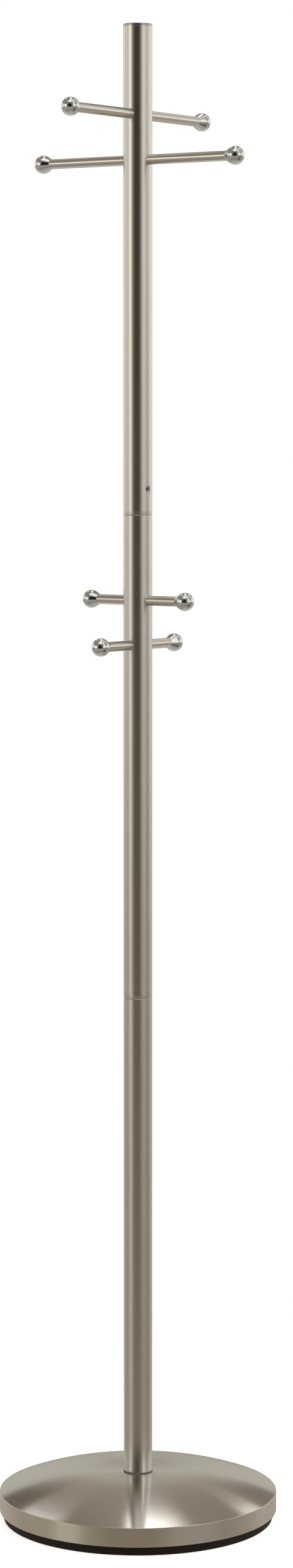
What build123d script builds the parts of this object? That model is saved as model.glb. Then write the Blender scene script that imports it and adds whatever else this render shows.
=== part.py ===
from build123d import *
import math
import os

# Free-standing coat rack. A pole of three tubes stands on a weighted round base. The two upper
# tubes each carry two cross rods, and every rod ends in a ball knob. The sections plug together
# on spigots, and a small screw near each seam locks them. Millimetres, +Z up, the origin on the
# floor under the middle of the base. +X runs along the lower of the two long rods.

# ---- driving dimensions -------------------------------------------------------------------
TOTAL_HEIGHT = 1830.0
UPPER_SEAM_Z = 1243.2
LOWER_SEAM_Z = 652.1

TUBE_DIAMETER = 35.0
TUBE_WALL = 1.2
TUBE_TOP_CHAMFER = 0.9        # on the upper end of a tube
TUBE_FOOT_CHAMFER = 0.15      # how far the lower end of a tube is turned in
TUBE_FOOT_TAPER = 4.0         # over this length

BASE_RADIUS = 171.5
BASE_RIM_BOTTOM = 11.5
BASE_RIM_TOP = 35.0
BASE_TOP = 58.5
BASE_FLAT_RADIUS = 50.0       # the level middle of the cover
BASE_EDGE_ROUND = 0.8
COVER_WALL = 1.0

PAD_RADIUS = 166.5
PAD_RECESS_RADIUS = 27.0
PAD_EDGE_CHAMFER = 1.0

ROD_DIAMETER = 12.0
ROD_DROP_HIGH = 104.2         # below the upper end of the tube
ROD_DROP_LOW = 158.4
LONG_ROD_REACH = 139.5        # from the pole's axis to the ball's centre
SHORT_ROD_REACH = 72.0
MIDDLE_TURN = 86.2            # of the middle section from the upper one, 3.8 short of a quarter

KNOB_DIAMETER = 22.0
KNOB_NECK_ANGLE = 29.0        # between the neck's side and the rod's axis

STUD_DIAMETER = 6.0
STUD_LENGTH = 20.0
STUD_IN_KNOB = 10.0

SPIGOT_RISE = 55.0            # above the seam, inside the next section
SPIGOT_DEPTH = 45.0           # below the seam, pressed into its own section
SPIGOT_DIAMETER = 20.0
SPIGOT_BORE = 10.0
SPIGOT_TIP_CHAMFER = 2.0
RUNNING_GAP = 0.05            # radial clearance of a turning fit

LOCK_SCREW_DIAMETER = 8.0
LOCK_SCREW_HEIGHT = 31.0      # above the seam
LOCK_SCREW_HEX = 4.0
LOCK_SCREW_RECESS = 1.3       # below the tube's surface
LOCK_SCREW_AZIMUTH = -11.0    # from the low rod
LOCK_SCREW_HEX_DEPTH = 2.5
LOCK_SCREW_TIP_CHAMFER = 0.6

CORE_MARGIN = 16.0            # of the rod core, above the high rod and below the low one
CORE_SCREW_DIAMETER = 6.0
CORE_SCREW_LENGTH = 12.0
CORE_SCREW_HEX = 3.0
CORE_SCREW_HEX_DEPTH = 3.0

CAP_THICKNESS = 3.0
CAP_EDGE_ROUND = 1.0
CAP_PLUG_DEPTH = 12.0
CAP_PLUG_LEAD = 2.0           # height of the taper at its foot
CAP_PLUG_TAPER = 1.0

BOLT_DIAMETER = 10.0
BOLT_HEAD_ACROSS = 16.0
BOLT_HEAD_HEIGHT = 6.4
BOLT_HEAD_BEVEL = 1.5
BOLT_CLEARANCE = 0.5
SPRING_WASHER_THICKNESS = 2.2
SPRING_WASHER_RADIUS = 9.0
SPRING_WASHER_SLIT = 1.5
SPRING_WASHER_SLANT = 20.0
FLAT_WASHER_THICKNESS = 2.0
FLAT_WASHER_RADIUS = 18.0
PLATE_THICKNESS = 1.5
PLATE_EDGE_GAP = 0.3
BOLT_REACH_IN_FOOT = 26.0
FOOT_PLUG_HEIGHT = 35.0
GASKET_THICKNESS = 1.5
GASKET_PROUD = 0.4            # beyond the tube
BALLAST_THICKNESS = 15.0
BALLAST_EDGE_GAP = 1.5
BALLAST_BOSS_RADIUS = 26.0    # the boss round the bolt, where the filling bears on the cover
BALLAST_BOSS_TAPER = 4.0

# ---- sizes worked out from them -----------------------------------------------------------
TUBE_RADIUS = TUBE_DIAMETER / 2
TUBE_BORE = TUBE_RADIUS - TUBE_WALL
ROD_RADIUS = ROD_DIAMETER / 2
KNOB_RADIUS = KNOB_DIAMETER / 2
STUD_RADIUS = STUD_DIAMETER / 2
SPIGOT_RADIUS = SPIGOT_DIAMETER / 2
LOCK_SCREW_RADIUS = LOCK_SCREW_DIAMETER / 2
CORE_SCREW_RADIUS = CORE_SCREW_DIAMETER / 2
BOLT_RADIUS = BOLT_DIAMETER / 2
TUBE_FOOT_Z = BASE_TOP + GASKET_THICKNESS
TUBE_TOP_Z = TOTAL_HEIGHT - CAP_THICKNESS
PLATE_TOP = BASE_RIM_BOTTOM + PLATE_THICKNESS

NECK = math.radians(KNOB_NECK_ANGLE)
NECK_LENGTH = (KNOB_RADIUS - ROD_RADIUS * math.cos(NECK)) / math.sin(NECK)

DOME_RUN = BASE_RADIUS - BASE_FLAT_RADIUS
DOME_DROP = BASE_TOP - BASE_RIM_TOP
DOME_RADIUS = (DOME_RUN**2 + DOME_DROP**2) / (2 * DOME_DROP)


# ---- small shape makers -------------------------------------------------------------------
def turned(outline):
    """A solid turned about Z from a closed outline in the XZ plane."""
    return revolve(Plane.XZ * make_face(outline), Axis.Z)


def post(radius, low, high):
    """An upright round bar."""
    return Pos(0, 0, low) * extrude(Circle(radius), high - low)


def ring(inner, outer, low, high):
    """An upright round bar with a bore right through."""
    return post(outer, low, high) - post(inner, low - 1, high + 1)


def circles(shape, radius):
    """A shape's round edges of one radius."""
    return shape.edges().filter_by(GeomType.CIRCLE).filter_by(lambda edge: abs(edge.radius - radius) < 0.01)


def bar_along(azimuth, height, radius, start, end):
    """A level round bar, from start to end along a line through the pole's axis."""
    bar = Rot(0, 90, 0) * post(radius, start, end)
    return Pos(0, 0, height) * (Rot(0, 0, azimuth) * bar)


def hex_pocket(across, low, high):
    """An upright hexagonal bar, for a socket or a bolt head."""
    return Pos(0, 0, low) * extrude(RegularPolygon(across / 2, 6, major_radius=False), high - low)


def dome_height(radius, offset):
    """Height of the cover's domed skin at a radius, the given offset inside its outer face."""
    centre_z = BASE_TOP - DOME_RADIUS
    return centre_z + math.sqrt((DOME_RADIUS - offset) ** 2 - (radius - BASE_FLAT_RADIUS) ** 2)


def dome_arc(edge_radius, offset):
    """The dome's arc from its level middle out to an edge, and the point where it ends."""
    middle_radius = (BASE_FLAT_RADIUS + edge_radius) / 2
    start = (BASE_FLAT_RADIUS, BASE_TOP - offset)
    middle = (middle_radius, dome_height(middle_radius, offset))
    end = (edge_radius, dome_height(edge_radius, offset))
    return ThreePointArc(start, middle, end), end


# ---- the base -----------------------------------------------------------------------------
def base_cover():
    """Spun sheet-metal cover: a low dome with an upright rim and a bolt hole in the middle."""
    hole = BOLT_RADIUS + BOLT_CLEARANCE
    inner_radius = BASE_RADIUS - COVER_WALL
    outer_arc, outer_end = dome_arc(BASE_RADIUS, 0)
    inner_arc, inner_end = dome_arc(inner_radius, COVER_WALL)
    outline = [
        Line((hole, BASE_TOP), (BASE_FLAT_RADIUS, BASE_TOP)),
        outer_arc,
        Line(outer_end, (BASE_RADIUS, BASE_RIM_BOTTOM)),
        Line((BASE_RADIUS, BASE_RIM_BOTTOM), (inner_radius, BASE_RIM_BOTTOM)),
        Line((inner_radius, BASE_RIM_BOTTOM), inner_end),
        inner_arc,
        Line((BASE_FLAT_RADIUS, BASE_TOP - COVER_WALL), (hole, BASE_TOP - COVER_WALL)),
        Line((hole, BASE_TOP - COVER_WALL), (hole, BASE_TOP)),
    ]
    cover = turned(outline)
    rim_top = circles(cover, BASE_RADIUS).sort_by(Axis.Z)[-1]
    return fillet(rim_top, BASE_EDGE_ROUND)


def ballast():
    """Cast disc that gives the base its weight, with a boss in the middle under the pole."""
    hole = BOLT_RADIUS + BOLT_CLEARANCE
    edge = BASE_RADIUS - COVER_WALL - BALLAST_EDGE_GAP
    disc_top = PLATE_TOP + BALLAST_THICKNESS
    boss_top = BASE_TOP - COVER_WALL
    return turned(
        Polyline(
            (hole, PLATE_TOP),
            (edge, PLATE_TOP),
            (edge, disc_top),
            (BALLAST_BOSS_RADIUS + BALLAST_BOSS_TAPER, disc_top),
            (BALLAST_BOSS_RADIUS, boss_top),
            (hole, boss_top),
            close=True,
        )
    )


def bottom_plate():
    """Sheet-metal disc that closes the cover from below."""
    edge = BASE_RADIUS - COVER_WALL - PLATE_EDGE_GAP
    return ring(BOLT_RADIUS + BOLT_CLEARANCE, edge, BASE_RIM_BOTTOM, PLATE_TOP)


def floor_pad():
    """Thick soft disc under the base, cut out in the middle around the bolt's head."""
    pad = ring(PAD_RECESS_RADIUS, PAD_RADIUS, 0, BASE_RIM_BOTTOM)
    return chamfer(circles(pad, PAD_RADIUS).sort_by(Axis.Z)[0], PAD_EDGE_CHAMFER)


def base_bolt():
    """Hexagon bolt from below, through the plate, ballast, cover and gasket into the foot plug."""
    seat = BASE_RIM_BOTTOM - FLAT_WASHER_THICKNESS - SPRING_WASHER_THICKNESS
    head = hex_pocket(BOLT_HEAD_ACROSS, seat - BOLT_HEAD_HEIGHT, seat)
    head = head & turned(bolt_head_outline(seat))
    return head + post(BOLT_RADIUS, seat, TUBE_FOOT_Z + BOLT_REACH_IN_FOOT)


def bolt_head_outline(seat):
    """Round bar with a broken lower edge, which trims the hexagon's lower corners."""
    corner = BOLT_HEAD_ACROSS / math.sqrt(3)
    low = seat - BOLT_HEAD_HEIGHT
    return Polyline(
        (0, low),
        (corner - BOLT_HEAD_BEVEL, low),
        (corner, low + BOLT_HEAD_BEVEL / 2),
        (corner, seat),
        (0, seat),
        close=True,
    )


def base_flat_washer():
    """Wide washer that spreads the bolt's pull over the bottom plate."""
    low = BASE_RIM_BOTTOM - FLAT_WASHER_THICKNESS
    return ring(BOLT_RADIUS + BOLT_CLEARANCE, FLAT_WASHER_RADIUS, low, BASE_RIM_BOTTOM)


def base_spring_washer():
    """Split washer between the bolt's head and the flat washer."""
    high = BASE_RIM_BOTTOM - FLAT_WASHER_THICKNESS
    low = high - SPRING_WASHER_THICKNESS
    slit = Box(SPRING_WASHER_RADIUS, SPRING_WASHER_SLIT, 4 * SPRING_WASHER_THICKNESS)
    slit = Rot(SPRING_WASHER_SLANT, 0, 0) * slit
    slit = Pos(SPRING_WASHER_RADIUS - 1, 0, (low + high) / 2) * slit
    return ring(BOLT_RADIUS + BOLT_CLEARANCE, SPRING_WASHER_RADIUS, low, high) - slit


def pole_gasket():
    """Thin dark ring between the cover and the foot of the pole."""
    return ring(BOLT_RADIUS + BOLT_CLEARANCE, TUBE_RADIUS + GASKET_PROUD, BASE_TOP, TUBE_FOOT_Z)


def foot_plug():
    """Threaded plug pressed into the foot of the lower tube, for the base bolt."""
    high = TUBE_FOOT_Z + FOOT_PLUG_HEIGHT
    return ring(BOLT_RADIUS, TUBE_BORE, TUBE_FOOT_Z, high)


# ---- the pole -----------------------------------------------------------------------------
def tube(low, high, low_end_turned_in, high_end_broken):
    """One pole tube. A plugged end is turned in a little, so that each seam is a shallow groove."""
    foot = TUBE_FOOT_CHAMFER if low_end_turned_in else 0
    head = TUBE_TOP_CHAMFER if high_end_broken else 0
    outline = [(TUBE_BORE, low), (TUBE_RADIUS - foot, low)]
    if foot:
        outline.append((TUBE_RADIUS, low + TUBE_FOOT_TAPER))
    outline.append((TUBE_RADIUS, high - head))
    if head:
        outline.append((TUBE_RADIUS - head, high))
    outline.append((TUBE_BORE, high))
    return turned(Polyline(*outline, close=True))


def spigot(seam):
    """Turned and bored plug at a seam: its foot is pressed into the tube below, its neck turns
    freely in the bush of the tube above."""
    neck = SPIGOT_RADIUS
    outline = Polyline(
        (SPIGOT_BORE / 2, seam - SPIGOT_DEPTH),
        (TUBE_BORE, seam - SPIGOT_DEPTH),
        (TUBE_BORE, seam),
        (neck, seam),
        (neck, seam + SPIGOT_RISE - SPIGOT_TIP_CHAMFER),
        (neck - SPIGOT_TIP_CHAMFER, seam + SPIGOT_RISE),
        (SPIGOT_BORE / 2, seam + SPIGOT_RISE),
        close=True,
    )
    return turned(outline)


def bush(seam, azimuth):
    """Bush pressed into the foot of the tube above a seam, tapped for the lock screw."""
    sleeve = ring(SPIGOT_RADIUS + RUNNING_GAP, TUBE_BORE, seam, seam + SPIGOT_RISE)
    return sleeve - lock_hole(seam, azimuth)


def lock_hole(seam, azimuth):
    """Cutter for the lock screw's hole through a tube's wall and its bush."""
    height = seam + LOCK_SCREW_HEIGHT
    return bar_along(azimuth, height, LOCK_SCREW_RADIUS, SPIGOT_RADIUS / 2, TUBE_RADIUS + 1)


def lock_screw(seam, azimuth):
    """Headless socket screw that bears on the spigot; its socket faces out."""
    inner = SPIGOT_RADIUS + RUNNING_GAP
    outer = TUBE_RADIUS - LOCK_SCREW_RECESS
    body = post(LOCK_SCREW_RADIUS, inner, outer)
    tip = body.edges().filter_by(GeomType.CIRCLE).sort_by(Axis.Z)[0]
    body = chamfer(tip, LOCK_SCREW_TIP_CHAMFER)
    body -= hex_pocket(LOCK_SCREW_HEX, outer - LOCK_SCREW_HEX_DEPTH, outer + 1)
    return Pos(0, 0, seam + LOCK_SCREW_HEIGHT) * (Rot(0, 0, azimuth) * (Rot(0, 90, 0) * body))


def top_cap():
    """Flat cap with a plug that presses into the top of the upper tube."""
    outline = Polyline(
        (0, TUBE_TOP_Z - CAP_PLUG_DEPTH),
        (TUBE_BORE - CAP_PLUG_TAPER, TUBE_TOP_Z - CAP_PLUG_DEPTH),
        (TUBE_BORE, TUBE_TOP_Z - CAP_PLUG_DEPTH + CAP_PLUG_LEAD),
        (TUBE_BORE, TUBE_TOP_Z),
        (TUBE_RADIUS, TUBE_TOP_Z),
        (TUBE_RADIUS, TOTAL_HEIGHT),
        (0, TOTAL_HEIGHT),
        close=True,
    )
    cap = turned(outline)
    rim = cap.edges().filter_by(GeomType.CIRCLE).sort_by(Axis.Z)[-1]
    return fillet(rim, CAP_EDGE_ROUND)


# ---- cross rods, their core and knobs -----------------------------------------------------
def rod(azimuth, height, reach):
    """Cross rod, straight through the pole, bored at both ends for the knobs' studs."""
    end = reach - NECK_LENGTH
    bar = bar_along(azimuth, height, ROD_RADIUS, -end, end)
    for side in (0, 180):
        bar -= bar_along(azimuth + side, height, STUD_RADIUS, end - STUD_LENGTH + STUD_IN_KNOB, end + 1)
    return bar


def stud(azimuth, height, reach):
    """Headless screw that joins a knob to the end of its rod."""
    end = reach - NECK_LENGTH
    return bar_along(azimuth, height, STUD_RADIUS, end - STUD_LENGTH + STUD_IN_KNOB, end + STUD_IN_KNOB)


def knob(azimuth, height, reach):
    """Ball with a conical neck, turned in one piece; the neck ends flush with the rod."""
    touch = (KNOB_RADIUS * math.cos(NECK), -KNOB_RADIUS * math.sin(NECK))
    ball_line = ThreePointArc(touch, (KNOB_RADIUS, 0), (0, KNOB_RADIUS))
    outline = [
        ball_line,
        Line((0, KNOB_RADIUS), (0, -NECK_LENGTH)),
        Line((0, -NECK_LENGTH), (ROD_RADIUS, -NECK_LENGTH)),
        Line((ROD_RADIUS, -NECK_LENGTH), touch),
    ]
    ball = turned(outline) - post(STUD_RADIUS, -NECK_LENGTH - 1, -NECK_LENGTH + STUD_IN_KNOB + 1)
    ball = Pos(reach, 0, 0) * (Rot(0, 90, 0) * ball)
    return Pos(0, 0, height) * (Rot(0, 0, azimuth) * ball)


def rod_core(high_rod_z, low_rod_z, high_azimuth, low_azimuth):
    """Plug inside the tube that holds both rods square, with a tapped hole at each end for the
    screw that clamps the nearer rod."""
    low = low_rod_z - ROD_RADIUS - CORE_MARGIN
    high = high_rod_z + ROD_RADIUS + CORE_MARGIN
    core = post(TUBE_BORE, low, high)
    core -= bar_along(high_azimuth, high_rod_z, ROD_RADIUS, -TUBE_RADIUS, TUBE_RADIUS)
    core -= bar_along(low_azimuth, low_rod_z, ROD_RADIUS, -TUBE_RADIUS, TUBE_RADIUS)
    core -= post(CORE_SCREW_RADIUS, high_rod_z, high + 1)
    core -= post(CORE_SCREW_RADIUS, low - 1, low_rod_z)
    return core


def core_screws(high_rod_z, low_rod_z):
    """The pair of socket screws in a rod core, one down onto the high rod, one up onto the low."""
    foot = high_rod_z + ROD_RADIUS
    head = foot + CORE_SCREW_LENGTH
    upper = post(CORE_SCREW_RADIUS, foot, head)
    upper -= hex_pocket(CORE_SCREW_HEX, head - CORE_SCREW_HEX_DEPTH, head + 1)
    foot = low_rod_z - ROD_RADIUS
    head = foot - CORE_SCREW_LENGTH
    lower = post(CORE_SCREW_RADIUS, head, foot)
    lower -= hex_pocket(CORE_SCREW_HEX, head - 1, head + CORE_SCREW_HEX_DEPTH)
    return Compound(children=[upper, lower])


def carrier_section(name, seam, tube_top, open_end, turn, reach):
    """A pole section that carries two crossed rods: returns its pieces by name. The end of the
    tube has its edge broken where another section stands on it."""
    high_z = tube_top - ROD_DROP_HIGH
    low_z = tube_top - ROD_DROP_LOW
    high_azimuth = turn + 90
    low_azimuth = turn
    lock = turn + LOCK_SCREW_AZIMUTH
    body = tube(seam, tube_top, True, open_end)
    body -= lock_hole(seam, lock)
    body -= bar_along(high_azimuth, high_z, ROD_RADIUS, -2 * TUBE_RADIUS, 2 * TUBE_RADIUS)
    body -= bar_along(low_azimuth, low_z, ROD_RADIUS, -2 * TUBE_RADIUS, 2 * TUBE_RADIUS)
    pieces = {
        name + "_tube": body,
        name + "_bush": bush(seam, lock),
        name + "_lock_screw": lock_screw(seam, lock),
        name + "_rod_core": rod_core(high_z, low_z, high_azimuth, low_azimuth),
        name + "_core_screws": core_screws(high_z, low_z),
        name + "_high_rod": rod(high_azimuth, high_z, reach),
        name + "_low_rod": rod(low_azimuth, low_z, reach),
    }
    studs = []
    for rod_name, azimuth, height in (("high", high_azimuth, high_z), ("low", low_azimuth, low_z)):
        for side, half_turn in (("a", 0), ("b", 180)):
            piece = f"{name}_{rod_name}_knob_{side}"
            pieces[piece] = knob(azimuth + half_turn, height, reach)
            studs.append(stud(azimuth + half_turn, height, reach))
    pieces[name + "_knob_studs"] = Compound(children=studs)
    return pieces


# ---- the whole rack -----------------------------------------------------------------------
def rack():
    parts = {
        "base_cover": base_cover(),
        "base_ballast": ballast(),
        "base_bottom_plate": bottom_plate(),
        "floor_pad": floor_pad(),
        "base_bolt": base_bolt(),
        "base_flat_washer": base_flat_washer(),
        "base_spring_washer": base_spring_washer(),
        "pole_gasket": pole_gasket(),
        "lower_foot_plug": foot_plug(),
        "lower_tube": tube(TUBE_FOOT_Z, LOWER_SEAM_Z, False, True),
        "lower_spigot": spigot(LOWER_SEAM_Z),
        "middle_spigot": spigot(UPPER_SEAM_Z),
        "top_cap": top_cap(),
    }
    middle = carrier_section("middle", LOWER_SEAM_Z, UPPER_SEAM_Z, True, MIDDLE_TURN, SHORT_ROD_REACH)
    upper = carrier_section("upper", UPPER_SEAM_Z, TUBE_TOP_Z, False, 0, LONG_ROD_REACH)
    parts.update(middle)
    parts.update(upper)
    return parts


os.makedirs("parts", exist_ok=True)
for node, shape in rack().items():
    shape.label = node
    export_step(shape, f"parts/{node}.step")
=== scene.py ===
import math

import bpy
from mathutils import Matrix, Vector


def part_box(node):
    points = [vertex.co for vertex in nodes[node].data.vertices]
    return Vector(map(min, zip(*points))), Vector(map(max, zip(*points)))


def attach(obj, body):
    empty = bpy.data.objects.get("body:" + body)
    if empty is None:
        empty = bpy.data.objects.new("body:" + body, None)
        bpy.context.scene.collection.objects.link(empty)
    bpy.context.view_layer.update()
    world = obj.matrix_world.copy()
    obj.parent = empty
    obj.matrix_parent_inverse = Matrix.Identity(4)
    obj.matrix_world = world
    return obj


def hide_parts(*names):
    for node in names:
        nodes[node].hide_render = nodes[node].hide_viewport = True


# Looks of a free-standing coat rack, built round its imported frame. Metres, +Z up, the origin on
# the floor under the middle of the base.

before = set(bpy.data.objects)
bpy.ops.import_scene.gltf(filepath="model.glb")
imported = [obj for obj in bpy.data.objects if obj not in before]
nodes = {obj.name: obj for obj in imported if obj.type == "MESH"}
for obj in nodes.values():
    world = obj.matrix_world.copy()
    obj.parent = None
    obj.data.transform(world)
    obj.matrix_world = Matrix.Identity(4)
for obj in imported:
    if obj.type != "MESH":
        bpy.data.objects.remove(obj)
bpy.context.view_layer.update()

MM = 0.001

# ---- where the camera stands ----------------------------------------------------------------
CAMERA_AZIMUTH = math.radians(34.23)
CAMERA_DISTANCE = 4.6032
CAMERA_HEIGHT = 1.3389
CAMERA_PITCH = math.radians(5.265)
CAMERA_SIDESTEP = 0.0105
CAMERA_LENS = 86.89

TOWARD_CAMERA = Vector((math.sin(CAMERA_AZIMUTH), -math.cos(CAMERA_AZIMUTH), 0))
RIGHT_OF_CAMERA = Vector((math.cos(CAMERA_AZIMUTH), math.sin(CAMERA_AZIMUTH), 0))

# ---- details that the frame's boxes don't give ------------------------------------------------
TUBE_WALL = 1.2 * MM
TUBE_TOP_CHAMFER = 0.9 * MM
TUBE_FOOT_CHAMFER = 0.15 * MM
TUBE_FOOT_TAPER = 4.0 * MM
TUBE_TAPER_BLEND = 2.0 * MM
TUBE_LIP = 0.25 * MM
HOLE_LIP = 0.3 * MM

DOME_FLAT_RADIUS = 50 * MM
DOME_RIM_TOP = 35 * MM
COVER_WALL = 1.0 * MM
COVER_EDGE_ROUND = 0.8 * MM
COVER_INNER_EDGE_ROUND = 0.5 * MM
COVER_LIP = 0.3 * MM
COVER_HOLE_RADIUS = 5.5 * MM

PAD_RECESS_RADIUS = 27 * MM
PAD_EDGE_CHAMFER = 1.0 * MM
PAD_LOWER_ROUND = 0.6 * MM
PAD_UPPER_ROUND = 0.5 * MM

KNOB_NECK_ANGLE = math.radians(29)
KNOB_NECK_BLEND = 1.2 * MM
STUD_RADIUS = 3 * MM
STUD_DEPTH = 10 * MM

CAP_THICKNESS = 3.0 * MM
CAP_EDGE_ROUND = 1.0 * MM
CAP_SHOULDER_ROUND = 0.15 * MM
CAP_NECK_ROUND = 0.1 * MM
CAP_PLUG_LEAD = 2.0 * MM
CAP_PLUG_TAPER = 1.0 * MM
CAP_PLUG_BLEND = 0.5 * MM
CAP_PLUG_LIP = 0.3 * MM

GASKET_EDGE_ROUND = 0.4 * MM

SMALL_LIP = 0.2 * MM          # the broken edge of a bore or of a rod's end

COLUMNS = 192                 # of quads round a turned piece
COVER_COLUMNS = 256           # round the dome
SMALL_COLUMNS = 96            # round a rod or a knob
FILLET_STEPS = 4              # quads across a rounded corner
FINE_FILLET_STEPS = 6         # across the dome's and the cap's
KNOB_FILLET_STEPS = 5
ROD_FILLET_STEPS = 3
HOLE_LIP_STEPS = 3
BALL_STEPS = 40               # along a ball's outline
COVER_OUTER_STEPS = 40        # along the dome's arc, outside and inside
COVER_INNER_STEPS = 24

# The patch of grid cells that a hole takes the place of: columns on each side of it, how far the
# patch reaches past it up and down, and rows.
ROD_PATCH = (15, 4 * MM, 14)
SCREW_PATCH = (10, 3 * MM, 8)

# Where the loops that fill a patch lie, from its edge at 0 to the hole's lip at 1.
PATCH_SHARES = (0.34, 0.67, 1.0)


# ---- shapes: turned surfaces with true normals -------------------------------------------------
class Surface:
    """Points, their true normals, and the faces of one smooth piece."""

    def __init__(self):
        self.points = []
        self.normals = []
        self.faces = []

    def add(self, point, normal):
        self.points.append(point)
        self.normals.append(normal)
        return len(self.points) - 1

    def band(self, first, second, skip=()):
        """Quads between two loops. A loop of one point makes a fan of triangles."""
        count = max(len(first), len(second))
        for i in range(count):
            if i in skip:
                continue
            j = (i + 1) % count
            corners = [first[i % len(first)], first[j % len(first)]]
            corners += [second[j % len(second)], second[i % len(second)]]
            self.faces.append(tuple(dict.fromkeys(corners)))

    def make(self, name, finish):
        mesh = bpy.data.meshes.new(name)
        mesh.from_pydata(self.points, [], self.faces)
        mesh.shade_smooth()
        mesh.normals_split_custom_set_from_vertices(self.normals)
        mesh.materials.append(finish)
        piece = bpy.data.objects.new(name, mesh)
        bpy.context.scene.collection.objects.link(piece)
        return piece


def edge_normal(start, end):
    """Outward normal of a run of an outline that goes anticlockwise in the (radius, height) plane."""
    run = Vector((end[0] - start[0], end[1] - start[1])).normalized()
    return Vector((run.y, -run.x))


def outline(corners, steps=FILLET_STEPS):
    """Points and normals along a closed outline of (radius, height, fillet) corners.

    A corner with a fillet becomes an arc. A corner with none is a point on a smooth stretch, or an
    end on the axis.
    """
    rows = []
    count = len(corners)
    for i, (radius, height, fillet) in enumerate(corners):
        before = corners[i - 1]
        after = corners[(i + 1) % count]
        arriving = edge_normal(before, (radius, height))
        leaving = edge_normal((radius, height), after)
        if radius == 0:
            normal = leaving if before[0] == 0 else arriving
            rows.append((radius, height, normal.x, normal.y))
        elif fillet == 0:
            normal = (arriving + leaving).normalized()
            rows.append((radius, height, normal.x, normal.y))
        else:
            rows += fillet_rows(Vector((radius, height)), arriving, leaving, fillet, steps)
    return rows


def fillet_rows(corner, arriving, leaving, fillet, steps):
    """Points and normals of the arc that rounds a corner."""
    turn = math.atan2(arriving.x * leaving.y - arriving.y * leaving.x, arriving.dot(leaving))
    side = 1 if turn > 0 else -1
    tangent = fillet * math.tan(abs(turn) / 2)
    run = Vector((-arriving.y, arriving.x))
    middle = corner - run * tangent - arriving * side * fillet
    rows = []
    for step in range(steps + 1):
        angle = turn * step / steps
        cosine, sine = math.cos(angle), math.sin(angle)
        across = arriving.x * cosine - arriving.y * sine
        along = arriving.x * sine + arriving.y * cosine
        normal = Vector((across, along))
        point = middle + normal * side * fillet
        rows.append((point.x, point.y, normal.x, normal.y))
    return rows


def turned_loop(surface, row, columns, turn=0.0):
    """One ring of points, or a single point on the axis."""
    radius, height, normal_r, normal_z = row
    if radius < 1e-7:
        return [surface.add((0, 0, height), (0, 0, math.copysign(1, normal_z)))]
    loop = []
    for column in range(columns):
        angle = turn + math.tau * column / columns
        cosine, sine = math.cos(angle), math.sin(angle)
        point = (radius * cosine, radius * sine, height)
        loop.append(surface.add(point, (normal_r * cosine, normal_r * sine, normal_z)))
    return loop


def lathe(rows, columns=COLUMNS):
    """Closed surface turned about Z. An outline that doesn't reach the axis closes as a ring."""
    surface = Surface()
    loops = [turned_loop(surface, row, columns) for row in rows]
    for first, second in zip(loops, loops[1:]):
        surface.band(first, second)
    if len(loops[0]) > 1:
        surface.band(loops[-1], loops[0])
    return surface


def arc_corners(start, end, centre, steps):
    """Points of an arc about a centre, as outline corners, both ends included."""
    first = math.atan2(start[1] - centre[1], start[0] - centre[0])
    last = math.atan2(end[1] - centre[1], end[0] - centre[0])
    radius = math.dist(start, centre)
    corners = []
    for step in range(steps + 1):
        angle = first + (last - first) * step / steps
        corners.append((centre[0] + radius * math.cos(angle), centre[1] + radius * math.sin(angle), 0))
    return corners


# ---- the pole tubes ---------------------------------------------------------------------------
class Hole:
    """Round hole through a tube's wall, and the patch of grid cells that it takes the place of."""

    def __init__(self, azimuth, height, radius, patch):
        side_columns, margin, rows = patch
        nearest = round(azimuth * COLUMNS / math.tau)
        half_height = radius + margin
        self.azimuth = azimuth
        self.height = height
        self.radius = radius
        self.columns = [nearest + step for step in range(-side_columns, side_columns + 1)]
        self.levels = [height + half_height * (2 * row / rows - 1) for row in range(rows + 1)]


def from_hole(surface, index, hole, turn):
    """Angle round the tube, and height, from a hole's middle to one of the surface's points."""
    x, y, z = surface.points[index]
    azimuth = math.atan2(y, x) - turn - hole.azimuth
    return (azimuth + math.pi) % math.tau - math.pi, z - hole.height


def wall_loops(surface, hole, boundary, angles, wall_radius, inward, turn):
    """Loops on the wall of that radius, from a patch's edge to a hole's lip.

    inward is 1 where the metal lies inside the wall's radius, and -1 where it lies outside.
    """
    lip_outer = hole.radius + HOLE_LIP
    spreads = []
    for index in boundary:
        azimuth, up = from_hole(surface, index, hole, turn)
        spreads.append((azimuth * wall_radius, up))
    loops = [boundary]
    for share in PATCH_SHARES:
        loop = []
        for (across, up), angle in zip(spreads, angles):
            edge_across = math.asin(lip_outer * math.cos(angle) / wall_radius) * wall_radius
            edge_up = lip_outer * math.sin(angle)
            u = across + (edge_across - across) * share
            v = up + (edge_up - up) * share
            azimuth = turn + hole.azimuth + u / wall_radius
            cosine, sine = math.cos(azimuth), math.sin(azimuth)
            point = (wall_radius * cosine, wall_radius * sine, hole.height + v)
            loop.append(surface.add(point, (inward * cosine, inward * sine, 0)))
        loops.append(loop)
    return loops


def lip_loops(surface, hole, angles, wall_radius, inward, turn):
    """Loops round a hole's quarter-round lip, from the wall into the hole."""
    azimuth = turn + hole.azimuth
    cosine, sine = math.cos(azimuth), math.sin(azimuth)
    loops = []
    for step in range(1, HOLE_LIP_STEPS + 1):
        bend = math.pi / 2 * step / HOLE_LIP_STEPS
        radius = hole.radius + HOLE_LIP * (1 - math.sin(bend))
        depth = HOLE_LIP * (1 - math.cos(bend)) * inward
        loop = []
        for angle in angles:
            across = radius * math.cos(angle)
            out = math.sqrt((wall_radius - depth) ** 2 - across**2)
            point = (out * cosine - across * sine, out * sine + across * cosine)
            face = math.atan2(point[1], point[0])
            toward_face = inward * math.cos(bend)
            toward_hole = math.cos(angle) * math.sin(bend)
            normal_x = math.cos(face) * toward_face + sine * toward_hole
            normal_y = math.sin(face) * toward_face - cosine * toward_hole
            normal = (normal_x, normal_y, -math.sin(angle) * math.sin(bend))
            loop.append(surface.add((*point, hole.height + radius * math.sin(angle)), normal))
        loops.append(loop)
    return loops


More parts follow.
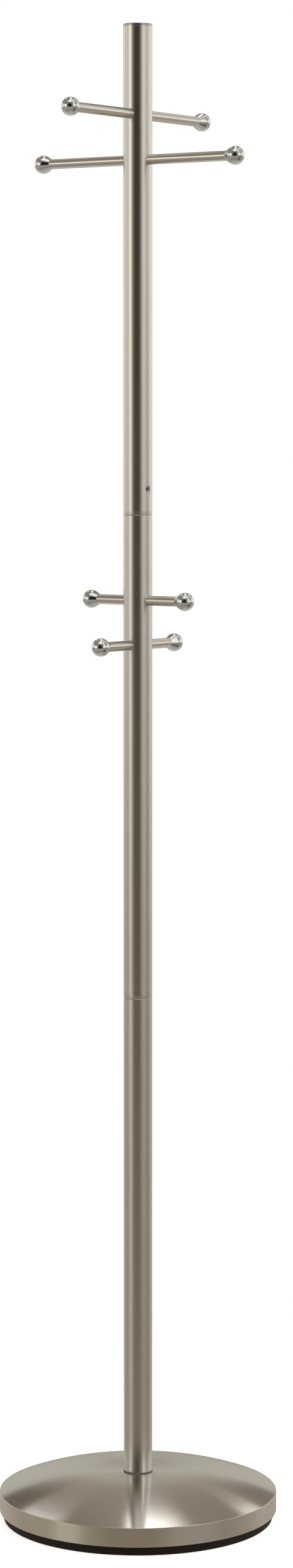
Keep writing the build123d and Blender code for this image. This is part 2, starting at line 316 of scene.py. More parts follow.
def patch_boundary(loops, columns):
    """The edge of a patch, anticlockwise from outside: along the bottom, up, back, and down."""
    bottom, top = loops[0], loops[-1]
    edge = [bottom[column % COLUMNS] for column in columns[:-1]]
    edge += [loop[columns[-1] % COLUMNS] for loop in loops[:-1]]
    edge += [top[column % COLUMNS] for column in reversed(columns[1:])]
    edge += [loop[columns[0] % COLUMNS] for loop in reversed(loops[1:])]
    return edge


def tube(name, node, finish, turned_in, broken, holes=(), turn=0.0):
    """Pole tube with softened ends and a rounded lip round each hole, in place of its CAD node."""
    low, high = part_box(node)
    outer = (high.x - low.x) / 2
    inner = outer - TUBE_WALL
    foot = TUBE_FOOT_CHAMFER if turned_in else 0
    head = TUBE_TOP_CHAMFER if broken else 0
    levels = sorted({level for hole in holes for level in hole.levels})
    corners = [(inner, low.z, TUBE_LIP), (outer - foot, low.z, TUBE_LIP)]
    if foot:
        corners.append((outer, low.z + TUBE_FOOT_TAPER, TUBE_TAPER_BLEND))
    first_outer = len(corners) * (FILLET_STEPS + 1)
    corners += [(outer, level, 0) for level in levels]
    if head:
        corners.append((outer, high.z - head, TUBE_LIP))
    corners.append((outer - head, high.z, TUBE_LIP))
    corners.append((inner, high.z, TUBE_LIP))
    corners += [(inner, level, 0) for level in reversed(levels)]
    rows = outline(corners)
    surface = Surface()
    loops = [turned_loop(surface, row, COLUMNS, turn) for row in rows]
    outer_loops = {level: first_outer + i for i, level in enumerate(levels)}
    inner_loops = {level: len(rows) - 1 - i for i, level in enumerate(levels)}
    skips = {}
    for hole in holes:
        cells = {column % COLUMNS for column in hole.columns[:-1]}
        for level in hole.levels[:-1]:
            skips.setdefault(outer_loops[level], set()).update(cells)
        for level in hole.levels[1:]:
            skips.setdefault(inner_loops[level], set()).update(cells)
    for i, loop in enumerate(loops):
        surface.band(loop, loops[(i + 1) % len(loops)], skips.get(i, ()))
    for hole in holes:
        cut_hole(surface, hole, [loops[outer_loops[x]] for x in hole.levels],
                 [loops[inner_loops[x]] for x in hole.levels], outer, inner, turn)
    piece = surface.make(name, finish)
    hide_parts(node)
    return piece


def cut_hole(surface, hole, outer_rows, inner_rows, outer, inner, turn):
    """Fills a hole's patches on both walls and joins their lips through the metal."""
    outer_edge = patch_boundary(outer_rows, hole.columns)
    inner_edge = patch_boundary(inner_rows, hole.columns)
    angles = []
    for index in outer_edge:
        azimuth, up = from_hole(surface, index, hole, turn)
        angles.append(math.atan2(up, azimuth * outer))
    outside = wall_loops(surface, hole, outer_edge, angles, outer, 1, turn)
    outside += lip_loops(surface, hole, angles, outer, 1, turn)
    inside = wall_loops(surface, hole, inner_edge, angles, inner, -1, turn)
    inside += lip_loops(surface, hole, angles, inner, -1, turn)
    path = outside + inside[::-1]
    for first, second in zip(path, path[1:]):
        surface.band(first, second)


# ---- node trees -------------------------------------------------------------------------------
def add_node(tree, kind, inputs=None, **settings):
    """A new node. Each input is a value, or another node's output."""
    made = tree.nodes.new(kind)
    for name, value in settings.items():
        setattr(made, name, value)
    for name, value in (inputs or {}).items():
        if isinstance(value, bpy.types.NodeSocket):
            tree.links.new(value, made.inputs[name])
        else:
            made.inputs[name].default_value = value
    return made


def maths(tree, operation, *values):
    """The result of a Math node."""
    made = add_node(tree, "ShaderNodeMath", dict(enumerate(values)), operation=operation)
    return made.outputs[0]


def vector_maths(tree, operation, *values):
    """The Vector Math node itself, because some operations give a number and some a vector."""
    return add_node(tree, "ShaderNodeVectorMath", dict(enumerate(values)), operation=operation)


def smooth_between(tree, value, low, high):
    """0 below low, 1 above high, smooth between them."""
    made = add_node(tree, "ShaderNodeMapRange", {"Value": value, "From Min": low, "From Max": high})
    made.interpolation_type = "SMOOTHSTEP"
    return made.outputs["Result"]


def mix_colours(tree, factor, first, second):
    """The first colour at factor 0, the second at 1. Sockets 6, 7 and 2 are the ones for colour."""
    made = add_node(tree, "ShaderNodeMix", data_type="RGBA")
    values = {"Factor": factor, 6: first, 7: second}
    for place, value in values.items():
        socket = made.inputs[place]
        if isinstance(value, bpy.types.NodeSocket):
            tree.links.new(value, socket)
        else:
            socket.default_value = value
    return made.outputs[2]


def ramp(tree, value, stops):
    """Colour ramp through (position, colour) stops."""
    made = add_node(tree, "ShaderNodeValToRGB", {"Fac": value})
    elements = made.color_ramp.elements
    while len(elements) < len(stops):
        elements.new(0.5)
    for element, (position, colour) in zip(elements, stops):
        element.position = position
        element.color = (*colour, 1)
    return made.outputs["Color"]


def new_material(name):
    """A material with an empty tree, and its shader and output."""
    made = bpy.data.materials.new(name)
    made.use_nodes = True
    tree = made.node_tree
    tree.nodes.clear()
    shader = add_node(tree, "ShaderNodeBsdfPrincipled")
    output = add_node(tree, "ShaderNodeOutputMaterial")
    tree.links.new(shader.outputs["BSDF"], output.inputs["Surface"])
    return made, tree, shader


def set_inputs(tree, shader, values):
    """Sets a shader's inputs, each to a value or to another node's output."""
    for name, value in values.items():
        if isinstance(value, bpy.types.NodeSocket):
            tree.links.new(value, shader.inputs[name])
        else:
            shader.inputs[name].default_value = value


# ---- finishes ---------------------------------------------------------------------------------
NICKEL = (0.80, 0.77, 0.72)
# Nickel darkened for the cap alone: painted shade for the dark line along the pole's top edge. The cap
# is the same metal as the tube.
CAP_NICKEL_PAINTED_SHADE = (0.55, 0.53, 0.50)
CHROME_DARK = (0.82, 0.85, 0.875)
CHROME_LIGHT = (0.86, 0.885, 0.905)
STEEL = (0.56, 0.57, 0.58)
BLACK = (0.020, 0.013, 0.009)
# Tone of the ring at the pole's foot, a part of the frame. Its mid-grey is painted shade, set to stand
# for the thin contact shadow where the pole meets the dome.
GASKET_GREY_PAINTED_SHADE = (0.26, 0.25, 0.235)
RUBBER_GRAIN = 900            # pebbles to a metre


def lathe_marks(tree, fineness, around):
    """Fine lines that run round the piece's own Z axis, as a turned and brushed surface has."""
    place = add_node(tree, "ShaderNodeTexCoord").outputs["Object"]
    split = add_node(tree, "ShaderNodeSeparateXYZ", {"Vector": place})
    flat = vector_maths(tree, "MULTIPLY", place, (1, 1, 0))
    radius = vector_maths(tree, "LENGTH", flat.outputs["Vector"]).outputs["Value"]
    angle = maths(tree, "ARCTAN2", split.outputs["Y"], split.outputs["X"])
    joined = add_node(
        tree,
        "ShaderNodeCombineXYZ",
        {
            "X": maths(tree, "MULTIPLY", radius, fineness),
            "Y": maths(tree, "MULTIPLY", split.outputs["Z"], fineness),
            "Z": maths(tree, "MULTIPLY", angle, around),
        },
    )
    noise = {"Vector": joined.outputs["Vector"], "Scale": 1, "Detail": 3, "Roughness": 0.6}
    return add_node(tree, "ShaderNodeTexNoise", noise).outputs["Fac"]


def clouds(tree, scale, detail=2):
    """Soft patches, for colour and smudges that change slowly over a surface."""
    place = add_node(tree, "ShaderNodeTexCoord").outputs["Object"]
    noise = {"Vector": place, "Scale": scale, "Detail": detail}
    return add_node(tree, "ShaderNodeTexNoise", noise).outputs["Fac"]


def brushed_metal(name, colour, roughness, anisotropy, fineness=2600, around=3.0, depth=0.02):
    """Metal brushed round the piece's own Z axis, so highlights run out along the axis or radius.

    fineness is the number of lines to a metre, around how often they break up round the piece, and
    depth the height of the marks in millimetres.
    """
    made, tree, shader = new_material(name)
    marks = lathe_marks(tree, fineness, around)
    smudge = clouds(tree, 9)
    dark = tuple(channel * 0.94 for channel in colour)
    light = tuple(min(1, channel * 1.03) for channel in colour)
    base = ramp(tree, marks, [(0.3, dark), (0.7, light)])
    grain = maths(tree, "MULTIPLY_ADD", marks, 0.10, roughness - 0.05)
    rough = maths(tree, "MULTIPLY_ADD", smudge, 0.04, maths(tree, "SUBTRACT", grain, 0.02))
    bump = add_node(tree, "ShaderNodeBump", {"Height": marks, "Strength": 0.1, "Distance": depth * MM})
    around_axis = add_node(tree, "ShaderNodeTangent", direction_type="RADIAL", axis="Z")
    set_inputs(tree, shader, {
        "Base Color": base,
        "Metallic": 1.0,
        "Roughness": rough,
        "Anisotropic": anisotropy,
        "Anisotropic Rotation": 0.25,
        "Tangent": around_axis.outputs["Tangent"],
        "Normal": bump.outputs["Normal"],
    })
    return made


def polished_chrome():
    """Bright plating with faint smudges."""
    made, tree, shader = new_material("polished_chrome")
    smudge = clouds(tree, 60, 3)
    set_inputs(tree, shader, {
        "Base Color": ramp(tree, smudge, [(0.3, CHROME_DARK), (0.7, CHROME_LIGHT)]),
        "Metallic": 1.0,
        "Roughness": maths(tree, "MULTIPLY_ADD", smudge, 0.05, 0.015),
    })
    return made


def dark_rubber(name, colour):
    """Matt moulded rubber or foam with a fine pebbled skin."""
    made, tree, shader = new_material(name)
    place = add_node(tree, "ShaderNodeTexCoord").outputs["Object"]
    cells = add_node(tree, "ShaderNodeTexVoronoi", {"Vector": place, "Scale": RUBBER_GRAIN})
    patches = clouds(tree, 25, 3)
    light = tuple(channel * 1.5 for channel in colour)
    skin = {"Height": cells.outputs["Distance"], "Strength": 0.5, "Distance": 0.15 * MM}
    bump = add_node(tree, "ShaderNodeBump", skin)
    set_inputs(tree, shader, {
        "Base Color": ramp(tree, patches, [(0.3, colour), (0.75, light)]),
        "Roughness": maths(tree, "MULTIPLY_ADD", patches, 0.15, 0.62),
        "Specular IOR Level": 0.35,
        "Normal": bump.outputs["Normal"],
    })
    return made


def grey_plastic():
    """Moulded nylon with a slightly uneven skin."""
    made, tree, shader = new_material("grey_nylon")
    patches = clouds(tree, 180, 3)
    bump = add_node(tree, "ShaderNodeBump", {"Height": patches, "Strength": 0.2, "Distance": 0.05 * MM})
    set_inputs(tree, shader, {
        "Base Color": ramp(tree, patches, [(0.3, (0.16, 0.16, 0.165)), (0.7, (0.20, 0.20, 0.205))]),
        "Roughness": 0.5,
        "Normal": bump.outputs["Normal"],
    })
    return made


def cast_cement():
    """Rough cement with pits."""
    made, tree, shader = new_material("cement")
    coarse = clouds(tree, 60, 6)
    place = add_node(tree, "ShaderNodeTexCoord").outputs["Object"]
    pits = add_node(tree, "ShaderNodeTexVoronoi", {"Vector": place, "Scale": 220})
    pit = smooth_between(tree, pits.outputs["Distance"], 0.0, 0.25)
    height = maths(tree, "MULTIPLY_ADD", pit, 0.6, coarse)
    bump = add_node(tree, "ShaderNodeBump", {"Height": height, "Strength": 0.6, "Distance": 0.8 * MM})
    set_inputs(tree, shader, {
        "Base Color": ramp(tree, coarse, [(0.25, (0.30, 0.29, 0.27)), (0.75, (0.46, 0.45, 0.42))]),
        "Roughness": 0.9,
        "Normal": bump.outputs["Normal"],
    })
    return made


def zinc_steel():
    """Plated steel with a faint crystal pattern."""
    made, tree, shader = new_material("zinc_steel")
    place = add_node(tree, "ShaderNodeTexCoord").outputs["Object"]
    spangle = add_node(tree, "ShaderNodeTexVoronoi", {"Vector": place, "Scale": 160})
    tone = add_node(tree, "ShaderNodeSeparateColor", {"Color": spangle.outputs["Color"]}).outputs["Red"]
    set_inputs(tree, shader, {
        "Base Color": ramp(tree, tone, [(0.0, (0.50, 0.52, 0.54)), (1.0, (0.64, 0.65, 0.66))]),
        "Metallic": 1.0,
        "Roughness": maths(tree, "MULTIPLY_ADD", tone, 0.12, 0.30),
    })
    return made


# ---- the studio -------------------------------------------------------------------------------
# Brightness round the object at eye height. The angle is from the camera's side, positive to the
# camera's right; the middle of it is the open, dark part of the studio that the camera stands in.
WALL = [
    (-180, (0.50, 0.49, 0.43)),
    (-160, (0.50, 0.49, 0.43)),
    (-142, (0.90, 0.90, 0.87)),
    (-112, (0.74, 0.73, 0.68)),
    (-84, (0.74, 0.72, 0.66)),
    (-74, (0.84, 0.81, 0.73)),
    (-67, (1.35, 1.29, 1.16)),     # strip light
    (-57, (1.35, 1.29, 1.16)),
    (-50, (0.60, 0.57, 0.49)),
    (-42, (0.24, 0.22, 0.17)),
    (-30, (0.060, 0.050, 0.036)),
    (-22, (0.016, 0.013, 0.010)),
    (10, (0.014, 0.012, 0.009)),
    (22, (0.18, 0.165, 0.14)),
    (32, (0.58, 0.55, 0.50)),
    (42, (0.80, 0.77, 0.71)),
    (62, (0.84, 0.81, 0.76)),
    (76, (0.50, 0.49, 0.45)),
    (90, (0.54, 0.53, 0.49)),
    (112, (0.95, 0.94, 0.91)),
    (142, (0.95, 0.95, 0.93)),
    (160, (0.50, 0.49, 0.43)),
    (180, (0.50, 0.49, 0.43)),
]

# The same, for the low part of the walls and the far floor.
SKIRTING = [
    (-180, (0.39, 0.38, 0.33)),
    (-142, (0.46, 0.44, 0.39)),
    (-112, (0.28, 0.25, 0.21)),
    (-80, (0.27, 0.24, 0.20)),
    (-66, (0.46, 0.42, 0.36)),
    (-52, (0.46, 0.42, 0.36)),
    (-40, (0.24, 0.21, 0.17)),
    (-24, (0.135, 0.112, 0.085)),
    (12, (0.115, 0.095, 0.072)),
    (34, (0.22, 0.195, 0.16)),
    (62, (0.24, 0.215, 0.18)),
    (84, (0.17, 0.15, 0.125)),
    (100, (0.20, 0.18, 0.15)),
    (124, (0.46, 0.44, 0.39)),
    (180, (0.39, 0.38, 0.33)),
]

# And for the ceiling above the walls.
CEILING = [
    (-180, (0.34, 0.30, 0.25)),
    (-166, (0.28, 0.24, 0.19)),
    (-150, (0.20, 0.165, 0.13)),
    (-130, (0.28, 0.25, 0.21)),
    (-30, (0.21, 0.19, 0.165)),
    (25, (0.21, 0.19, 0.165)),
    (66, (0.34, 0.33, 0.30)),
    (92, (0.34, 0.33, 0.30)),
    (104, (0.60, 0.58, 0.54)),
    (128, (0.60, 0.58, 0.54)),
    (150, (0.20, 0.165, 0.13)),
    (166, (0.28, 0.24, 0.19)),
    (180, (0.34, 0.30, 0.25)),
]

# The floor from a few metres off to under the object.
FLOOR_FAR = (0.41, 0.335, 0.26)
FLOOR_NEAR = (0.25, 0.24, 0.215)
FLOOR_BEHIND = (0.58, 0.57, 0.54)
FLOOR_UNDER = (0.38, 0.375, 0.35)

# Elevations, in degrees, between which each of these comes in.
SKIRTING_FADE = (-20, -12)
WALL_FADE = (-8, 0.5)
CEILING_FADE = (13, 25)
FLOOR_FAR_FADE = (-42, -24)
FLOOR_UNDER_FADE = (-50, -78)

# How far a direction leans toward the camera, between which the floor behind the object comes in.
FLOOR_BEHIND_FADE = (-0.05, -0.5)

FLOOR_RADIUS = 1.2
FLOOR_EDGE_FADE = (0.35, 1.1)         # distances from the middle

# Soft panels: middle angle, half width, lowest and highest elevation, softness of the top and
# bottom edges, softness of the side edges, colour.
PANELS = [
    (15, 80, 54, 90, 14, 30, (0.66, 0.65, 0.62)),          # overhead, on the camera's side
    (-6, 34, 50, 90, 20, 24, (1.05, 1.03, 0.98)),          # the lamp in the middle of it
    (49, 9, 7, 58, 10, 8, (0.98, 0.98, 0.94)),             # tall window on the right
    (173.8, 11, 54.5, 90, 8, 1.0, (2.5, 2.47, 2.38)),      # overhead, behind the object
    (-153, 5, 35, 51, 4, 1.5, (1.3, 1.28, 1.22)),          # narrow lamps beside it
    (153.2, 5, 31, 40, 4, 1.5, (1.7, 1.68, 1.60)),
    (91, 14, 5, 16, 6, 8, (0.86, 0.86, 0.84)),             # wall on the far right
    (-7, 16, -4, 31, 8, 8, (0.014, 0.012, 0.009)),         # dark room behind the camera
    (62, 24, -50, -24, 12, 16, (0.12, 0.115, 0.10)),       # dark floor on the right
    (-164, 5, 19, 31, 6, 5, (0.125, 0.105, 0.085)),        # dark doorways behind the object
    (165, 4, 15, 25, 6, 5, (0.18, 0.155, 0.125)),
]


def around_ramp(tree, azimuth, stops):
    """Colour ramp over the angle round the object, from -180 to 180 degrees."""
    place = maths(tree, "DIVIDE", maths(tree, "ADD", azimuth, 180), 360)
    return ramp(tree, place, [((angle + 180) / 360, colour) for angle, colour in stops])


def studio_world():
    """Soft studio all round, seen in the metal; straight behind the object it is plain white."""
    world = bpy.data.worlds.new("studio")
    bpy.context.scene.world = world
    world.use_nodes = True
    tree = world.node_tree
    tree.nodes.clear()
    direction = add_node(tree, "ShaderNodeTexCoord").outputs["Generated"]
    toward = vector_maths(tree, "DOT_PRODUCT", direction, tuple(TOWARD_CAMERA)).outputs["Value"]
    right = vector_maths(tree, "DOT_PRODUCT", direction, tuple(RIGHT_OF_CAMERA)).outputs["Value"]
    upward = add_node(tree, "ShaderNodeSeparateXYZ", {"Vector": direction}).outputs["Z"]
    azimuth = maths(tree, "DEGREES", maths(tree, "ARCTAN2", right, toward))
    elevation = maths(tree, "DEGREES", maths(tree, "ARCSINE", upward))
    low = smooth_between(tree, elevation, *SKIRTING_FADE)
    level = smooth_between(tree, elevation, *WALL_FADE)
    high = smooth_between(tree, elevation, *CEILING_FADE)
    far = smooth_between(tree, elevation, *FLOOR_FAR_FADE)
    under = smooth_between(tree, elevation, *FLOOR_UNDER_FADE)
    behind = smooth_between(tree, toward, *FLOOR_BEHIND_FADE)
    colour = mix_colours(tree, behind, (*FLOOR_NEAR, 1), (*FLOOR_BEHIND, 1))
    colour = mix_colours(tree, under, colour, (*FLOOR_UNDER, 1))
    colour = mix_colours(tree, far, colour, (*FLOOR_FAR, 1))
    colour = mix_colours(tree, low, colour, around_ramp(tree, azimuth, SKIRTING))
    colour = mix_colours(tree, level, colour, around_ramp(tree, azimuth, WALL))
    colour = mix_colours(tree, high, colour, around_ramp(tree, azimuth, CEILING))
    for panel in PANELS:
        colour = add_panel(tree, colour, azimuth, elevation, panel)
    white = add_node(tree, "ShaderNodeBackground", {"Color": (1, 1, 1, 1), "Strength": 1.0})
    around = add_node(tree, "ShaderNodeBackground", {"Color": colour, "Strength": 1.0})
    seen = add_node(tree, "ShaderNodeLightPath").outputs["Is Camera Ray"]
    either = add_node(tree, "ShaderNodeMixShader", {0: seen, 1: around.outputs[0], 2: white.outputs[0]})
    output = add_node(tree, "ShaderNodeOutputWorld")
    tree.links.new(either.outputs[0], output.inputs["Surface"])


def add_panel(tree, colour, azimuth, elevation, panel):
    """A soft-edged light panel, over the colour so far."""
    middle, half_width, lowest, highest, rise, edge, tone = panel
    offset = maths(tree, "WRAP", maths(tree, "SUBTRACT", azimuth, middle), 180, -180)
    away = maths(tree, "ABSOLUTE", offset)
    across = smooth_between(tree, away, half_width + edge / 2, half_width - edge / 2)
    rising = smooth_between(tree, elevation, lowest - rise / 2, lowest + rise / 2)
    falling = smooth_between(tree, elevation, highest + rise / 2, highest - rise / 2)
    share = maths(tree, "MULTIPLY", across, maths(tree, "MULTIPLY", rising, falling))
    return mix_colours(tree, share, colour, (*tone, 1))


def studio_floor():
    """Pale floor under the object, which fades into the white background all round."""
    surface = Surface()
    centre = surface.add((0, 0, 0), (0, 0, 1))
    loop = turned_loop(surface, (FLOOR_RADIUS, 0, 0, 1), COLUMNS)
    surface.band([centre], loop[::-1])
    made = bpy.data.materials.new("studio_floor")
    made.use_nodes = True
    tree = made.node_tree
    tree.nodes.clear()
    place = add_node(tree, "ShaderNodeTexCoord").outputs["Object"]
    distance = vector_maths(tree, "LENGTH", place).outputs["Value"]
    fade = smooth_between(tree, distance, *FLOOR_EDGE_FADE)
    paper = add_node(tree, "ShaderNodeBsdfDiffuse", {"Color": (0.80, 0.80, 0.79, 1)})
    glow = add_node(tree, "ShaderNodeEmission", {"Color": (1, 1, 0.995, 1), "Strength": 0.78})
    lit = add_node(tree, "ShaderNodeAddShader", {0: paper.outputs[0], 1: glow.outputs[0]})
    open_floor = add_node(tree, "ShaderNodeBsdfTransparent")
    seen = add_node(tree, "ShaderNodeLightPath").outputs["Is Camera Ray"]
    from_below = add_node(tree, "ShaderNodeNewGeometry").outputs["Backfacing"]
    hidden = maths(tree, "MAXIMUM", fade, from_below)
    solid = maths(tree, "MULTIPLY", seen, maths(tree, "SUBTRACT", 1, hidden))
    sides = {0: solid, 1: open_floor.outputs[0], 2: lit.outputs[0]}
    either = add_node(tree, "ShaderNodeMixShader", sides)
    output = add_node(tree, "ShaderNodeOutputMaterial")
    tree.links.new(either.outputs[0], output.inputs["Surface"])
    floor = surface.make("studio_floor", made)


def camera():
    """The camera, in front of the rack and 34 degrees round toward +X, looking a little down."""
    data = bpy.data.cameras.new("camera")
    data.lens = CAMERA_LENS
    data.clip_start = 0.05
    data.clip_end = 50
    made = bpy.data.objects.new("camera", data)
    made.location = TOWARD_CAMERA * CAMERA_DISTANCE + RIGHT_OF_CAMERA * CAMERA_SIDESTEP
    made.location.z = CAMERA_HEIGHT
    made.rotation_euler = (math.pi / 2 - CAMERA_PITCH, 0, CAMERA_AZIMUTH)
    bpy.context.scene.collection.objects.link(made)
    bpy.context.scene.camera = made


# ---- pieces -----------------------------------------------------------------------------------
def place_piece(piece, node, body):
    """Puts a finished piece in place of a CAD node, on that node's body."""
    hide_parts(node)
    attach(piece, body)
    return piece


def dome_cover(finish):
    """Spun cover: level middle, one arc out to a rounded edge, upright rim, and the inside."""
    low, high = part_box("base_cover")
    radius = (high.x - low.x) / 2
    run = radius - DOME_FLAT_RADIUS
    drop = high.z - DOME_RIM_TOP
    sphere = (run**2 + drop**2) / (2 * drop)
    centre = (DOME_FLAT_RADIUS, high.z - sphere)
    edge = (radius, DOME_RIM_TOP)
    inner_radius = radius - COVER_WALL
    inner_sphere = sphere - COVER_WALL
    inner_run = inner_radius - DOME_FLAT_RADIUS
    inner_edge = (inner_radius, centre[1] + math.sqrt(inner_sphere**2 - inner_run**2))
    outer_arc = arc_corners(edge, (DOME_FLAT_RADIUS, high.z), centre, COVER_OUTER_STEPS)
    inner_start = (DOME_FLAT_RADIUS, high.z - COVER_WALL)
    inner_arc = arc_corners(inner_start, inner_edge, centre, COVER_INNER_STEPS)
    corners = [(radius, low.z, COVER_LIP), (radius, DOME_RIM_TOP, COVER_EDGE_ROUND)]
    corners += outer_arc[1:]
    corners.append((COVER_HOLE_RADIUS, high.z, SMALL_LIP))
    corners.append((COVER_HOLE_RADIUS, high.z - COVER_WALL, SMALL_LIP))
    corners += inner_arc[:-1]
    corners += [(*inner_edge, COVER_INNER_EDGE_ROUND), (inner_radius, low.z, COVER_LIP)]
    piece = lathe(outline(corners, FINE_FILLET_STEPS), COVER_COLUMNS).make("dome_cover", finish)
    return place_piece(piece, "base_cover", "base")


def rubber_pad(finish):
    """Thick pad under the rim, with a recess for the bolt."""
    low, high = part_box("floor_pad")
    radius = (high.x - low.x) / 2
    corners = [
        (PAD_RECESS_RADIUS, low.z, PAD_LOWER_ROUND),
        (radius - PAD_EDGE_CHAMFER, low.z, PAD_LOWER_ROUND),
        (radius, low.z + PAD_EDGE_CHAMFER, PAD_LOWER_ROUND),
        (radius, high.z, PAD_UPPER_ROUND),
        (PAD_RECESS_RADIUS, high.z, PAD_UPPER_ROUND),
    ]
    piece = lathe(outline(corners)).make("rubber_pad", finish)
    return place_piece(piece, "floor_pad", "base")


def foot_gasket(finish):
    """Thin ring between the dome and the pole."""
    low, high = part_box("pole_gasket")
    radius = (high.x - low.x) / 2
    corners = [
        (COVER_HOLE_RADIUS, low.z, SMALL_LIP),
        (radius, low.z, GASKET_EDGE_ROUND),
        (radius, high.z, GASKET_EDGE_ROUND),
        (COVER_HOLE_RADIUS, high.z, SMALL_LIP),
    ]
    piece = lathe(outline(corners)).make("foot_gasket", finish)
    return place_piece(piece, "pole_gasket", "base")


def pole_cap(finish):
    """Flat cap with a soft edge, and the plug under it."""
    low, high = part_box("top_cap")
    radius = (high.x - low.x) / 2
    plug = radius - TUBE_WALL
    shoulder = high.z - CAP_THICKNESS
    corners = [
        (0, low.z, 0),
        (plug - CAP_PLUG_TAPER, low.z, CAP_PLUG_LIP),
        (plug, low.z + CAP_PLUG_LEAD, CAP_PLUG_BLEND),
        (plug, shoulder, CAP_NECK_ROUND),
        (radius, shoulder, CAP_SHOULDER_ROUND),
        (radius, high.z, CAP_EDGE_ROUND),
        (0, high.z, 0),
    ]
    piece = lathe(outline(corners, FINE_FILLET_STEPS)).make("pole_cap", finish)
    return place_piece(piece, "top_cap", "upper_section")


def ball_place(node):
    """Centre and radius of a knob's ball, and the direction from the pole to it."""
    low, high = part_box(node)
    radius = (high.z - low.z) / 2
    centre = (low + high) / 2
    long_way = 0 if abs(centre.x) > abs(centre.y) else 1
    outer = high[long_way] if centre[long_way] > 0 else low[long_way]
    centre[long_way] = outer - math.copysign(radius, centre[long_way])
    return centre, radius, Vector((centre.x, centre.y, 0)).normalized()


def rod_place(node):
    """Height and radius of a rod."""
    low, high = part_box(node)
    return (low.z + high.z) / 2, (high.z - low.z) / 2


def knob_neck_length(ball_radius, rod_radius):
    """From the middle of a ball to the end of its conical neck."""
    return (ball_radius - rod_radius * math.cos(KNOB_NECK_ANGLE)) / math.sin(KNOB_NECK_ANGLE)


def stand_along(piece, centre, direction):
    """Puts a piece made along Z on a level line through a centre."""
    turn = direction.to_track_quat("Z", "Y").to_matrix().to_4x4()
    piece.matrix_world = Matrix.Translation(centre) @ turn


def ball_knob(node, name, rod_radius, body, finish):
    """Ball with a conical neck, bored for its stud, turned in one piece."""
    centre, radius, direction = ball_place(node)
    neck_length = knob_neck_length(radius, rod_radius)
    touch = -KNOB_NECK_ANGLE
    ball = []
    for step in range(1, BALL_STEPS):
        angle = touch + (math.pi / 2 - touch) * step / BALL_STEPS
        ball.append((radius * math.cos(angle), radius * math.sin(angle), 0))
    corners = [
        (0, -neck_length + STUD_DEPTH, 0),
        (STUD_RADIUS, -neck_length + STUD_DEPTH, SMALL_LIP),
        (STUD_RADIUS, -neck_length, SMALL_LIP),
        (rod_radius, -neck_length, SMALL_LIP),
        (radius * math.cos(touch), radius * math.sin(touch), KNOB_NECK_BLEND),
        *ball,
        (0, radius, 0),
    ]
    piece = lathe(outline(corners, KNOB_FILLET_STEPS), SMALL_COLUMNS).make(name, finish)
    stand_along(piece, centre, direction)
    return place_piece(piece, node, body)


def cross_rod(node, name, knob_a, body, finish):
    """Rod straight through the pole, bored at both ends for the knobs' studs."""
    height, radius = rod_place(node)
    ball_centre, ball_radius, direction = ball_place(knob_a)
    reach = Vector((ball_centre.x, ball_centre.y)).length
    end = reach - knob_neck_length(ball_radius, radius)
    corners = [
        (0, -end + STUD_DEPTH, 0),
        (STUD_RADIUS, -end + STUD_DEPTH, SMALL_LIP),
        (STUD_RADIUS, -end, SMALL_LIP),
        (radius, -end, SMALL_LIP),
        (radius, end, SMALL_LIP),
        (STUD_RADIUS, end, SMALL_LIP),
        (STUD_RADIUS, end - STUD_DEPTH, SMALL_LIP),
        (0, end - STUD_DEPTH, 0),
    ]
    piece = lathe(outline(corners, ROD_FILLET_STEPS), SMALL_COLUMNS).make(name, finish)
    stand_along(piece, Vector((0, 0, height)), direction)
    return place_piece(piece, node, body)


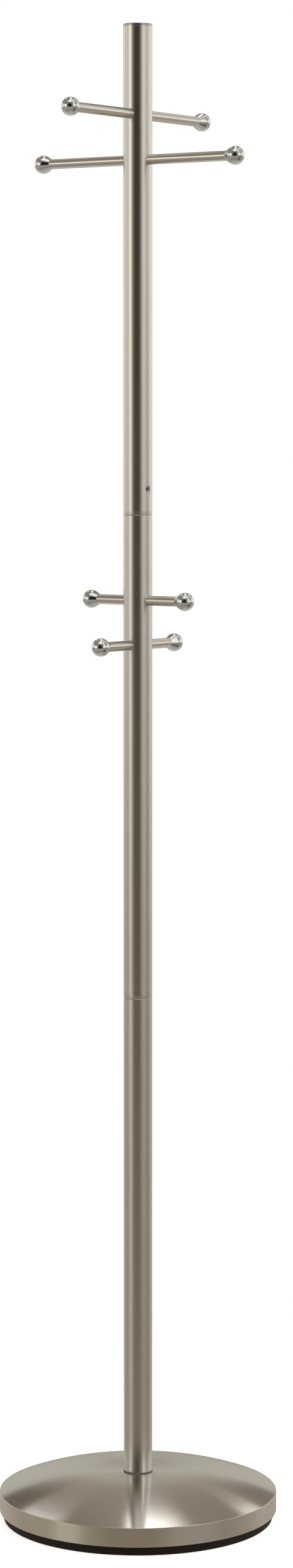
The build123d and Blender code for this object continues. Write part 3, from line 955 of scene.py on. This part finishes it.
def carrier(section, body, broken, finishes):
    """A pole section with its tube, two rods and four knobs."""
    low_height, rod_radius = rod_place(section + "_low_rod")
    high_height = rod_place(section + "_high_rod")[0]
    low_direction = ball_place(section + "_low_knob_a")[2]
    turn = math.atan2(low_direction.y, low_direction.x)
    screw_low, screw_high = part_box(section + "_lock_screw")
    screw_centre = (screw_low + screw_high) / 2
    screw_azimuth = math.atan2(screw_centre.y, screw_centre.x) - turn
    screw_radius = (screw_high.z - screw_low.z) / 2
    holes = [
        Hole(0, low_height, rod_radius, ROD_PATCH),
        Hole(math.pi, low_height, rod_radius, ROD_PATCH),
        Hole(math.pi / 2, high_height, rod_radius, ROD_PATCH),
        Hole(math.pi * 3 / 2, high_height, rod_radius, ROD_PATCH),
        Hole(screw_azimuth, screw_centre.z, screw_radius, SCREW_PATCH),
    ]
    piece = tube(section + "_pole", section + "_tube", finishes["tube"], True, broken, holes, turn)
    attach(piece, body)
    for level in ("high", "low"):
        rod_node = f"{section}_{level}_rod"
        knob_node = f"{section}_{level}_knob_"
        cross_rod(rod_node, f"{section}_{level}_cross_rod", knob_node + "a", body, finishes["rod"])
        for side in ("a", "b"):
            name = f"{section}_{level}_ball_{side}"
            ball_knob(knob_node + side, name, rod_radius, body, finishes["chrome"])


def give_finish(names, finish):
    """A new material for CAD nodes that stay."""
    for name in names:
        piece = nodes[name]
        piece.data.materials.clear()
        piece.data.materials.append(finish)


# ---- the scene --------------------------------------------------------------------------------
finishes = {
    "tube": brushed_metal("satin_nickel_tube", NICKEL, roughness=0.245, anisotropy=0.55),
    "dome": brushed_metal("satin_nickel_dome", NICKEL, roughness=0.165, anisotropy=1.0),
    "rod": brushed_metal("satin_nickel_rod", NICKEL, roughness=0.2, anisotropy=0.5),
    # The cap's darker colour is painted shade along the pole's top edge.
    "cap": brushed_metal("satin_nickel_cap_painted_shade", CAP_NICKEL_PAINTED_SHADE, roughness=0.245, anisotropy=0.55),
    "chrome": polished_chrome(),
}
rubber = dark_rubber("black_rubber", BLACK)

camera()
studio_world()
studio_floor()

dome_cover(finishes["dome"])
rubber_pad(rubber)
# The ring's grey is painted shade for the contact shadow at the pole's foot.
foot_gasket(dark_rubber("grey_rubber_painted_shade", GASKET_GREY_PAINTED_SHADE))
lower = tube("lower_pole", "lower_tube", finishes["tube"], False, True)
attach(lower, "base")
carrier("middle", "middle_section", True, finishes)
carrier("upper", "upper_section", False, finishes)
pole_cap(finishes["cap"])

zinc = zinc_steel()
turned_steel = brushed_metal(
    "turned_steel", STEEL, roughness=0.32, anisotropy=0.5, fineness=1800, around=2.0, depth=0.05
)
give_finish(["base_ballast"], cast_cement())
give_finish(
    ["base_bottom_plate", "base_bolt", "base_flat_washer", "base_spring_washer",
     "middle_lock_screw", "upper_lock_screw", "middle_core_screws", "upper_core_screws",
     "middle_knob_studs", "upper_knob_studs"],
    zinc,
)
give_finish(
    ["lower_foot_plug", "lower_spigot", "middle_spigot", "middle_bush", "upper_bush"],
    turned_steel,
)
give_finish(["middle_rod_core", "upper_rod_core"], grey_plastic())

bpy.context.scene.view_settings.view_transform = "Standard"
